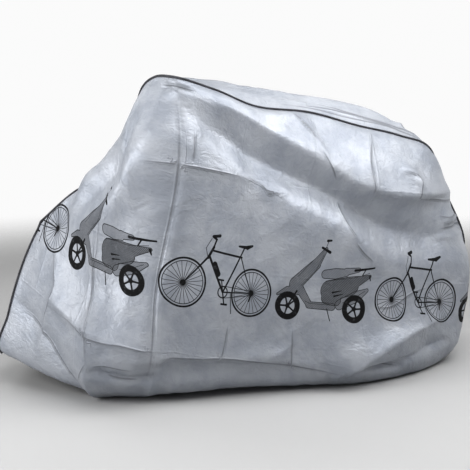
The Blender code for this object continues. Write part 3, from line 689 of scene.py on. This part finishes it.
def panel_points(sections, folds, side, columns, cells):
    """The middle surface of a side panel, as points by level and column, and where each lies on the flat cut,
    measured along it and up from the printed row."""
    flats = [section.flat for section in sections]
    along = np.linspace(0, flats[-1], columns + 1)
    seam, brow, row, sill = (
        curve_through(flats, [getattr(section, name) for section in sections], along)
        for name in ("seam", "brow", "row", "sill")
    )
    fullness = [(section.belly, section.tuck) for section in sections]
    swell, tuck = curve_through(flats, fullness, along).T[..., None]
    belly = row + (sill - row) * BELLY_AT + outward_from_keel(row) * swell
    hem = sill - outward_from_keel(sill) * tuck
    hem[:, 2] = np.maximum(HEM_HEIGHT, sill[:, 2] - TUCK_FALL * tuck[:, 0])
    levels = np.stack([hem, sill, belly, row, brow, seam])
    chords = np.linalg.norm(np.diff(levels, axis=0), axis=2)
    share = np.concatenate([np.arange(count) / count + i for i, count in enumerate(cells)] + [[len(cells)]])
    points = np.empty((len(share), len(along), 3))
    from_seam = np.empty(points.shape[:2])
    up = np.empty(points.shape[:2])
    for column in range(len(along)):
        knots = np.concatenate([[0], np.cumsum(chords[:, column])])
        places = np.interp(share, np.arange(len(knots)), knots)
        points[:, column] = curve_through(knots, levels[:, column], places)
        from_seam[:, column] = knots[-1] - places
        up[:, column] = places - knots[ROW_LEVEL]
    normal = side * unit(np.cross(np.gradient(points, axis=1), np.gradient(points, axis=0)))
    spread = np.broadcast_to(along, points.shape[:2])
    flat = np.stack([spread, up], axis=-1)
    shift = fold_shift(folds, spread, points[..., 2]) + crumple_shift(flat, side)
    fade = np.clip(np.minimum(from_seam, np.minimum(along, flats[-1] - along)) / SEWN_FADE, 0, 1)
    points += normal * (shift * fade)[..., None]
    points[..., 2] = np.maximum(points[..., 2], HEM_HEIGHT)
    return points + DATUM, flat


def edge_of(grid):
    """A panel's sewn edge: up its front column, along its top row and down its rear column."""
    return np.concatenate([grid[:, 0], grid[-1, 1:-1], grid[::-1, -1]])


def from_sill_to_sill(panel, cells):
    """A panel's sewn edge without its two ends under the sill, save for their last cell."""
    under = cells[0] - 1
    return edge_of(panel)[under:-under]


def set_back(edge, inner):
    """The edge moved over the film towards its inner neighbours, so that it ends inside the tape."""
    tangent = unit(np.gradient(edge, axis=0))
    way = inner - edge
    way = unit(way - (way * tangent).sum(axis=1, keepdims=True) * tangent)
    return edge + way * EDGE_INSET


def trim_panel(grid):
    """A side panel's grid with its sewn edge set back from the seam's middle."""
    inner = np.concatenate([grid[:-1, 1], grid[-2:-1, 1], grid[-2, 1:-1], grid[-2:-1, -2], grid[-2::-1, -2]])
    edge = set_back(edge_of(grid), inner)
    levels, columns = grid.shape[:2]
    trimmed = grid.copy()
    trimmed[:, 0] = edge[:levels]
    trimmed[-1, 1:-1] = edge[levels : levels + columns - 2]
    trimmed[::-1, -1] = edge[levels + columns - 2 :]
    return trimmed


def distances(line):
    """How far each point of a line is from its start, along it."""
    return np.concatenate([[0], np.cumsum(np.linalg.norm(np.diff(line, axis=0), axis=1))])


def resampled(edge, count):
    """The edge read again at evenly spaced places along it."""
    run = distances(edge)
    places = np.linspace(0, run[-1], count)
    return np.stack([np.interp(places, run, edge[:, axis]) for axis in range(3)], axis=1)


def seam_pair(near_edge, far_edge, count):
    """Both seams read at count places each, with the ways from the near one to the far one and outward."""
    near_edge, far_edge = resampled(near_edge, count), resampled(far_edge, count)
    across = far_edge - near_edge
    out = unit(np.cross(np.gradient(near_edge + far_edge, axis=0), across))
    return near_edge, far_edge, across, out


def grid_shape(points, maps):
    """A bmesh sheet through a grid of points, with a UV map for each name and grid of places in maps."""
    rows, columns = points.shape[:2]
    shape = bmesh.new()
    bmesh.ops.create_grid(shape, x_segments=columns - 1, y_segments=rows - 1, size=1)
    layers = [(shape.loops.layers.uv.new(name), places) for name, places in maps.items()]
    for vert in shape.verts:
        column = round((vert.co.x + 1) / 2 * (columns - 1))
        row = round((vert.co.y + 1) / 2 * (rows - 1))
        vert.co = points[row, column]
        for loop in vert.link_loops:
            for layer, places in layers:
                loop[layer].uv = places[row, column]
    return shape


def finished(name, shape, material):
    """The piece that a bmesh makes, in its material, on the cover's one body."""
    mesh = bpy.data.meshes.new(name)
    shape.to_mesh(mesh)
    shape.free()
    mesh.shade_smooth()
    mesh.materials.append(material)
    piece = bpy.data.objects.new(name, mesh)
    bpy.context.scene.collection.objects.link(piece)
    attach(piece, "root")
    return piece


def film(name, points, flat, lines, material, settings):
    """A sheet of film through a grid of points, with its flat cut and its crease lines as maps."""
    shape = grid_shape(points, {"flat_cut": flat, "crease_lines": lines})
    sheet = finished(name, shape, material)
    thickness = sheet.modifiers.new("film", "SOLIDIFY")
    thickness.thickness = settings.film_thickness
    thickness.offset = 0
    return sheet


def tape(name, edge, out, material, settings):
    """A narrow tape folded round a seam and standing out along out, swept along the seam from end to end."""
    half = np.array(TAPE_SECTION) * (settings.tape_depth / 2, settings.tape_thickness / 2)
    ring = np.concatenate([half, half[::-1] * (1, -1), half[:1]])
    tangent = unit(np.gradient(edge, axis=0))
    out = unit(out - (out * tangent).sum(axis=1, keepdims=True) * tangent)
    side = np.cross(tangent, out)
    points = edge + out * ring[:, :1, None] + side * ring[:, 1:, None]
    woven = np.stack(np.broadcast_arrays(distances(edge), distances(ring)[:, None]), axis=-1)
    shape = grid_shape(points, {"along_tape": woven})
    bmesh.ops.remove_doubles(shape, verts=shape.verts, dist=WELD)
    rims = [rim for rim in shape.edges if rim.is_boundary]
    bmesh.ops.holes_fill(shape, edges=rims, sides=len(ring))
    bmesh.ops.recalc_face_normals(shape, faces=shape.faces)
    return finished(name, shape, material)


def feed(tree, socket, value):
    """Join a socket to another node's output, or set it to a value."""
    if isinstance(value, bpy.types.NodeSocket):
        tree.links.new(value, socket)
    else:
        socket.default_value = value


def maths(tree, operation, *values, clamp=False):
    node = tree.nodes.new("ShaderNodeMath")
    node.operation = operation
    node.use_clamp = clamp
    for socket, value in zip(node.inputs, values):
        feed(tree, socket, value)
    return node.outputs["Value"]


def vectors(tree, operation, *values, scale=None):
    node = tree.nodes.new("ShaderNodeVectorMath")
    node.operation = operation
    for socket, value in zip(node.inputs, values):
        feed(tree, socket, value)
    if scale is not None:
        feed(tree, node.inputs["Scale"], scale)
    return node.outputs["Value" if operation in ("DOT_PRODUCT", "DISTANCE", "LENGTH") else "Vector"]


def vector_of(tree, x, y):
    node = tree.nodes.new("ShaderNodeCombineXYZ")
    feed(tree, node.inputs["X"], x)
    feed(tree, node.inputs["Y"], y)
    return node.outputs["Vector"]


def ramp(tree, value, low, high, at_low, at_high):
    """A smooth change from at_low to at_high as the value goes from low to high."""
    node = tree.nodes.new("ShaderNodeMapRange")
    node.interpolation_type = "SMOOTHSTEP"
    names = ("Value", "From Min", "From Max", "To Min", "To Max")
    for name, given in zip(names, (value, low, high, at_low, at_high)):
        feed(tree, node.inputs[name], given)
    return node.outputs["Result"]


def cloud(tree, place, kind):
    """Soft noise of one kind at a place."""
    node = tree.nodes.new("ShaderNodeTexNoise")
    feed(tree, node.inputs["Vector"], place)
    for name, given in zip(("Scale", "Detail", "Roughness", "Distortion"), kind):
        node.inputs[name].default_value = given
    return node.outputs["Fac"]


def blend(tree, share, first, second):
    """A colour that goes from first to second with the share."""
    node = tree.nodes.new("ShaderNodeMix")
    node.data_type = "RGBA"
    feed(tree, node.inputs["Factor"], share)
    feed(tree, node.inputs["A"], first)
    feed(tree, node.inputs["B"], second)
    return node.outputs["Result"]


def stroke_away(tree, place, start, end, first, last):
    """How far a place is outside a straight stroke, whose half width goes from first to last."""
    run = Vector((*end, 0)) - Vector((*start, 0))
    offset = vectors(tree, "SUBTRACT", place, (*start, 0))
    share = vectors(tree, "DOT_PRODUCT", offset, run / run.length_squared)
    share = maths(tree, "ADD", share, 0, clamp=True)
    away = vectors(tree, "DISTANCE", offset, vectors(tree, "SCALE", run, scale=share))
    half = first if first == last else maths(tree, "MULTIPLY_ADD", share, last - first, first)
    return maths(tree, "SUBTRACT", away, half)


def strokes_away(tree, place, table):
    """How far a place is outside the nearest stroke. Each stroke is joined before the next is made."""
    nearest = stroke_away(tree, place, *table[0])
    for stroke in table[1:]:
        nearest = maths(tree, "MINIMUM", nearest, stroke_away(tree, place, *stroke))
    return nearest


def wheels_away(tree, x, y, wheels):
    """How far a place is outside the drawn lines of two like wheels."""
    x = maths(tree, "SUBTRACT", maths(tree, "ABSOLUTE", x), wheels.reach)
    y = maths(tree, "SUBTRACT", y, wheels.rise)
    radius = vectors(tree, "LENGTH", vector_of(tree, x, y))
    turn = maths(tree, "MULTIPLY", maths(tree, "ARCTAN2", y, x), wheels.spokes / 2)
    across = maths(tree, "MULTIPLY", maths(tree, "ABSOLUTE", maths(tree, "SINE", turn)), radius)
    spokes = maths(tree, "MULTIPLY_ADD", across, 2 / wheels.spokes, -wheels.spoke_width)
    nearest = maths(tree, "MAXIMUM", spokes, maths(tree, "SUBTRACT", radius, wheels.spoke_end))
    for ring, half in wheels.rings:
        away = maths(tree, "ABSOLUTE", maths(tree, "SUBTRACT", radius, ring))
        nearest = maths(tree, "MINIMUM", nearest, maths(tree, "SUBTRACT", away, half))
    return nearest


def inked(tree, away):
    """1 inside a drawn shape and 0 outside it, with a soft edge."""
    return maths(tree, "MULTIPLY_ADD", away, -1 / INK_EDGE, 0.5, clamp=True)


def chainring_away(tree, place):
    """How far a place is outside the drawn ring at the bicycle's cranks."""
    ring_x, ring_y, ring, half = CHAINRING
    radius = vectors(tree, "DISTANCE", place, (ring_x, ring_y, 0))
    away = maths(tree, "ABSOLUTE", maths(tree, "SUBTRACT", radius, ring))
    return maths(tree, "SUBTRACT", away, half)


def printed_row(tree, along, up):
    """How dark the printed row is at a place of the panel, from 0 to 1."""
    x = maths(tree, "WRAP", maths(tree, "SUBTRACT", along, ROW_START), ROW_REPEAT, 0)
    on_bicycle = maths(tree, "SUBTRACT", x, BICYCLE_AT)
    place = vector_of(tree, on_bicycle, up)
    away = strokes_away(tree, place, BICYCLE)
    away = maths(tree, "MINIMUM", away, wheels_away(tree, on_bicycle, up, BICYCLE_WHEELS))
    away = maths(tree, "MINIMUM", away, chainring_away(tree, place))
    on_scooter = maths(tree, "SUBTRACT", x, SCOOTER_AT)
    place = vector_of(tree, on_scooter, up)
    away = maths(tree, "MINIMUM", away, wheels_away(tree, on_scooter, up, SCOOTER_WHEELS))
    away = maths(tree, "MINIMUM", away, strokes_away(tree, place, SCOOTER_LINES))
    aslant = maths(tree, "ADD", on_scooter, up)
    pen = maths(tree, "SINE", maths(tree, "MULTIPLY", aslant, tau / HATCH_GAP))
    pen = maths(tree, "MULTIPLY_ADD", pen, HATCH_DEPTH, 1.0)
    grey = 0
    for group, tone in zip((SCOOTER_FRONT, SCOOTER_REAR, SCOOTER_ENGINE, SCOOTER_SEAT), SCOOTER_TONES):
        body = strokes_away(tree, place, group)
        grey = maths(tree, "MAXIMUM", grey, maths(tree, "MULTIPLY", inked(tree, body), tone))
        outline = maths(tree, "SUBTRACT", maths(tree, "ABSOLUTE", body), LINE)
        away = maths(tree, "MINIMUM", away, outline)
    return maths(tree, "MAXIMUM", inked(tree, away), maths(tree, "MULTIPLY", grey, pen))


def new_material(name):
    """A material with its node tree and its shader."""
    material = bpy.data.materials.new(name)
    material.use_nodes = True
    return material, material.node_tree, material.node_tree.nodes["Principled BSDF"]


def map_of(tree, name):
    """The place that a piece's UV map gives, whole and as its two parts."""
    node = tree.nodes.new("ShaderNodeUVMap")
    node.uv_map = name
    parts = tree.nodes.new("ShaderNodeSeparateXYZ")
    feed(tree, parts.inputs["Vector"], node.outputs["UV"])
    return node.outputs["UV"], parts.outputs["X"], parts.outputs["Y"]


def tinted(colour, tint=(1, 1, 1)):
    """A colour socket's value: the colour times a tint, channel by channel."""
    return (*(min(1, channel * share) for channel, share in zip(colour, tint)), 1)


def raise_surface(tree, shader, height):
    """Let the shader show a height, given in metres."""
    bump = tree.nodes.new("ShaderNodeBump")
    bump.inputs["Distance"].default_value = 1.0
    feed(tree, bump.inputs["Height"], height)
    feed(tree, shader.inputs["Normal"], bump.outputs["Normal"])


def packed_height(tree, shifted, patches, along, up):
    """Height of the creases that the packing left, a little crooked and stronger in patches."""
    wobble = maths(tree, "MULTIPLY_ADD", cloud(tree, shifted, WOBBLE), WOBBLE_SWING, -WOBBLE_SWING / 2)
    height = 0
    for axis, (start, gap) in ((along, PACKED_ALONG), (up, PACKED_UP)):
        offset = maths(tree, "ADD", maths(tree, "SUBTRACT", axis, start), wobble)
        packed = maths(tree, "PINGPONG", offset, gap / 2)
        height = maths(tree, "ADD", height, ramp(tree, packed, *PACKED))
    return maths(tree, "MULTIPLY", height, ramp(tree, patches, *PACKED_SHOWS))


def crease_height(tree, away, strength):
    """Height of the sharp creases: a ridge with a narrower groove along it."""
    ridge = ramp(tree, away, 0.0, CREASE_WIDTH, CREASE_DEPTH, 0.0)
    groove = ramp(tree, away, 0.0, CREASE_WIDTH / 2, CREASE_DEPTH / 2, 0.0)
    return maths(tree, "MULTIPLY", maths(tree, "SUBTRACT", ridge, groove), strength)


def film_material(name, settings, seed, printed=None):
    """Silver film: satin, crinkled, creased where it was packed, and printed if asked. printed is the
    direction in which the row runs, 1 with the panel and -1 against it."""
    material, tree, shader = new_material(name)
    flat, along, up = map_of(tree, "flat_cut")
    shifted = vectors(tree, "ADD", flat, (seed, seed * 2, seed * 3))
    patches = cloud(tree, shifted, PATCHES)

    colour = settings.film_colour
    tone = ramp(tree, cloud(tree, shifted, TONES), *TONE_RANGE)
    shade = blend(tree, tone, tinted(colour, DEEPER), tinted(colour, PALER))
    _, beside_crease, strength = map_of(tree, "crease_lines")
    away = maths(tree, "ABSOLUTE", beside_crease)
    # Painted shade: the film's colour is darkened along each sharp crease, most on its line.
    painted_shade = maths(tree, "MULTIPLY", ramp(tree, away, *PAINTED_CREASE_SHADE), strength)
    shade = blend(tree, painted_shade, shade, tinted(colour, PAINTED_SHADE_TINT))
    dull = maths(tree, "MULTIPLY_ADD", patches, DULLER, settings.film_roughness - DULLER / 2)
    if printed:
        run = along if printed > 0 else maths(tree, "SUBTRACT", CUT_LENGTH, along)
        rubbed = ramp(tree, cloud(tree, shifted, RUBBING), *RUBBED)
        ink = maths(tree, "MULTIPLY", printed_row(tree, run, up), rubbed)
        shade = blend(tree, ink, shade, tinted(settings.ink_colour))
        metal = maths(tree, "MULTIPLY_ADD", ink, -settings.film_metal, settings.film_metal)
        feed(tree, shader.inputs["Metallic"], metal)
        dull = maths(tree, "MULTIPLY_ADD", ink, INK_DULLER, dull)
    else:
        shader.inputs["Metallic"].default_value = settings.film_metal
    feed(tree, shader.inputs["Base Color"], shade)
    feed(tree, shader.inputs["Roughness"], dull)
    shader.inputs["Specular IOR Level"].default_value = settings.film_specular

    height = packed_height(tree, shifted, patches, along, up)
    height = maths(tree, "ADD", height, crease_height(tree, away, strength))
    for kind, depth, stretch in CRINKLES:
        waves = cloud(tree, vectors(tree, "MULTIPLY", shifted, stretch), kind)
        folded = maths(tree, "ABSOLUTE", maths(tree, "SUBTRACT", waves, 0.5))
        height = maths(tree, "MULTIPLY_ADD", folded, -depth, height)
    raise_surface(tree, shader, height)
    return material


def tape_material(settings):
    """Matt woven tape, ribbed across."""
    material, tree, shader = new_material("dark_tape")
    place, along, round_it = map_of(tree, "along_tape")
    ribs = maths(tree, "SINE", maths(tree, "MULTIPLY", along, tau / RIB_GAP))
    threads = maths(tree, "SINE", maths(tree, "MULTIPLY", round_it, tau / THREAD_GAP))
    weave = maths(tree, "MULTIPLY", ribs, threads)
    worn = cloud(tree, place, WEAR)
    colour = settings.tape_colour
    shade = blend(tree, ramp(tree, worn, *WORN_SHADE), tinted(colour), tinted(colour, WORN_PALER))
    feed(tree, shader.inputs["Base Color"], shade)
    feed(tree, shader.inputs["Roughness"], ramp(tree, worn, *WORN_FINISH))
    raise_surface(tree, shader, maths(tree, "MULTIPLY", weave, WEAVE_DEPTH))
    return material


def floor_material(settings):
    """Plain pale floor with a faint unevenness, which fades into the backdrop."""
    material, tree, shader = new_material("floor")
    place = tree.nodes.new("ShaderNodeTexCoord").outputs["Object"]
    colour = settings.floor_colour
    shade = blend(tree, cloud(tree, place, FLOOR_TONES), tinted(colour, FLOOR_DARKER), tinted(colour))
    feed(tree, shader.inputs["Base Color"], shade)
    feed(tree, shader.inputs["Roughness"], ramp(tree, cloud(tree, place, FLOOR_PATCHES), *FLOOR_FINISH))
    feed(tree, shader.inputs["Alpha"], ramp(tree, vectors(tree, "LENGTH", place), *FLOOR_FADE))
    return material


@cache
def cut_panels():
    """The points of both side panels and where they lie on their flat cuts."""
    near = panel_points(NEAR, NEAR_FOLDS, NEAR_SIDE, NEAR_COLUMNS, NEAR_CELLS)
    far = panel_points(FAR, FAR_FOLDS, FAR_SIDE, FAR_COLUMNS, FAR_CELLS)
    return near, far


class COVER_OT_side_panels(bpy.types.Operator):
    """Build the two printed side panels"""

    bl_idname = "cover.side_panels"
    bl_label = "Side panels"

    def execute(self, context):
        settings = context.scene.cover_settings
        (near, near_cut), (far, far_cut) = cut_panels()
        near_lines = crease_lines(CREASES, near_cut[..., 0], near[..., 2])
        far_lines = crease_lines(FAR_CREASES, far_cut[..., 0], far[..., 2])
        near_finish = film_material("near_silver_film", settings, NEAR_SEED, printed=1)
        far_finish = film_material("far_silver_film", settings, FAR_SEED, printed=-1)
        near_piece = film("near_film", trim_panel(near), near_cut, near_lines, near_finish, settings)
        far_piece = film("far_film", trim_panel(far), far_cut, far_lines, far_finish, settings)
        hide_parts("side_panel_near")
        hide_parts("side_panel_far")
        return {"FINISHED"}


class COVER_OT_top_strip(bpy.types.Operator):
    """Build the long strip over the front, top and rear"""

    bl_idname = "cover.top_strip"
    bl_label = "Top strip"

    def execute(self, context):
        settings = context.scene.cover_settings
        (near, _), (far, _) = cut_panels()
        near_edge, far_edge = edge_of(near), edge_of(far)
        count = len(near_edge) * STRIP_FINER
        near_edge, far_edge, across, out = seam_pair(near_edge, far_edge, count)
        share = np.linspace(0, 1, count)
        crown = curve_through([c.share for c in CROWNS], [[c.height] for c in CROWNS], share)
        places = np.linspace(0, 1, STRIP_CELLS + 1)[:, None]
        cut = np.stack(np.broadcast_arrays(share * STRIP_LENGTH, places * STRIP_WIDTH), axis=-1)
        arch = 4 * places * (1 - places)  # 1 half way across
        shift = fold_shift(STRIP_FOLDS, cut[..., 0], cut[..., 1]) + crumple_shift(cut, STRIP_NOISE)
        lift = crown.T * arch + shift * np.clip(STRIP_RISE * places * (1 - places), 0, 1)
        grid = near_edge + across * places[..., None] + out * lift[..., None]
        grid[..., 2] = np.maximum(grid[..., 2], HEM_HEIGHT)
        grid[0] = set_back(grid[0], grid[1])
        grid[-1] = set_back(grid[-1], grid[-2])
        finish = film_material("top_silver_film", settings, STRIP_SEED)
        lines = crease_lines(STRIP_CREASES, cut[..., 0], cut[..., 1])
        strip = film("top_film", grid, cut, lines, finish, settings)
        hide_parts("top_strip")
        return {"FINISHED"}


class COVER_OT_seam_tapes(bpy.types.Operator):
    """Build the dark tape that binds each seam"""

    bl_idname = "cover.seam_tapes"
    bl_label = "Seam tapes"

    def execute(self, context):
        settings = context.scene.cover_settings
        finish = tape_material(settings)
        (near, _), (far, _) = cut_panels()
        near_edge, far_edge, across, out = seam_pair(
            from_sill_to_sill(near, NEAR_CELLS), from_sill_to_sill(far, FAR_CELLS), TAPE_LENGTHS)
        near_tape = tape("near_tape", near_edge, out - unit(across), finish, settings)
        far_tape = tape("far_tape", far_edge, out + unit(across), finish, settings)
        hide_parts("seam_binding_near")
        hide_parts("seam_binding_far")
        return {"FINISHED"}


def bearing(around, rise):
    """The way from the cover to a place, around from the near side and up from the floor, in degrees."""
    around, rise = radians(around), radians(rise)
    return Vector((sin(around) * cos(rise), -cos(around) * cos(rise), sin(rise)))


def looking_at(data, target, around, rise, distance):
    """An object with the data of a lamp or a camera that looks at a target from a bearing and a distance."""
    away = bearing(around, rise)
    holder = bpy.data.objects.new(data.name, data)
    holder.location = Vector(target) + away * distance
    holder.rotation_euler = (-away).to_track_quat("-Z", "Y").to_euler()
    bpy.context.scene.collection.objects.link(holder)
    return holder


def lay_floor(settings):
    shape = bmesh.new()
    bmesh.ops.create_circle(shape, cap_ends=True, segments=STAGE_SIDES, radius=STAGE_RADIUS)
    mesh = bpy.data.meshes.new("floor")
    shape.to_mesh(mesh)
    shape.free()
    mesh.materials.append(floor_material(settings))
    floor = bpy.data.objects.new("floor", mesh)
    bpy.context.scene.collection.objects.link(floor)


def studio(settings):
    """The world round the cover: a pale backdrop that goes over to a darker studio overhead."""
    world = bpy.data.worlds.new("studio")
    world.use_nodes = True
    tree = world.node_tree
    sky = tree.nodes["Background"]
    sky.inputs["Color"].default_value = (1, 1, 1, 1)
    way = tree.nodes.new("ShaderNodeTexCoord")
    parts = tree.nodes.new("ShaderNodeSeparateXYZ")
    level = tree.nodes.new("ShaderNodeMapRange")
    level.inputs["From Min"].default_value = PALE_TO
    level.inputs["From Max"].default_value = DARK_FROM
    level.inputs["To Min"].default_value = settings.backdrop_strength
    level.inputs["To Max"].default_value = settings.overhead_strength
    tree.links.new(way.outputs["Generated"], parts.inputs["Vector"])
    tree.links.new(parts.outputs["Z"], level.inputs["Value"])
    tree.links.new(level.outputs["Result"], sky.inputs["Strength"])
    return world


class COVER_OT_stage(bpy.types.Operator):
    """Set the floor, the lamps and the camera"""

    bl_idname = "cover.stage"
    bl_label = "Stage"

    def execute(self, context):
        scene = context.scene
        lay_floor(scene.cover_stage)
        for lamp in LAMPS:
            light = bpy.data.lights.new(lamp.name, "AREA")
            light.size = lamp.size
            light.energy = lamp.power
            looking_at(light, LAMP_TARGET, lamp.bearing, lamp.rise, lamp.distance)
        scene.world = studio(scene.cover_stage)
        scene.view_settings.view_transform = "Standard"
        scene.view_settings.gamma = VIEW_GAMMA
        camera = bpy.data.cameras.new("camera")
        camera.lens = VIEW_LENS
        camera.sensor_width = VIEW_SENSOR
        scene.camera = looking_at(camera, VIEW_TARGET, VIEW_AZIMUTH, VIEW_ELEVATION, VIEW_DISTANCE)
        return {"FINISHED"}


class COVER_PT_panel(bpy.types.Panel):
    """Lists the cover's pieces"""

    bl_label = "Bicycle cover"
    bl_idname = "COVER_PT_panel"
    bl_space_type = "VIEW_3D"
    bl_region_type = "UI"
    bl_category = "Cover"

    def draw(self, context):
        for settings in (context.scene.cover_settings, context.scene.cover_stage):
            for name in settings.bl_rna.properties.keys():
                if name not in ("rna_type", "name"):
                    self.layout.prop(settings, name)
        for operator in OPERATORS:
            self.layout.operator(operator.bl_idname)


OPERATORS = (
    COVER_OT_side_panels,
    COVER_OT_top_strip,
    COVER_OT_seam_tapes,
    COVER_OT_stage,
)
CLASSES = (CoverSettings, StageSettings, *OPERATORS, COVER_PT_panel)


def register():
    for kind in CLASSES:
        bpy.utils.register_class(kind)
    bpy.types.Scene.cover_settings = PointerProperty(type=CoverSettings)
    bpy.types.Scene.cover_stage = PointerProperty(type=StageSettings)


def unregister():
    del bpy.types.Scene.cover_stage
    del bpy.types.Scene.cover_settings
    for kind in reversed(CLASSES):
        bpy.utils.unregister_class(kind)


def main():
    register()
    bpy.ops.cover.side_panels()
    bpy.ops.cover.top_strip()
    bpy.ops.cover.seam_tapes()
    bpy.ops.cover.stage()


if __name__ == "__main__":
    main()
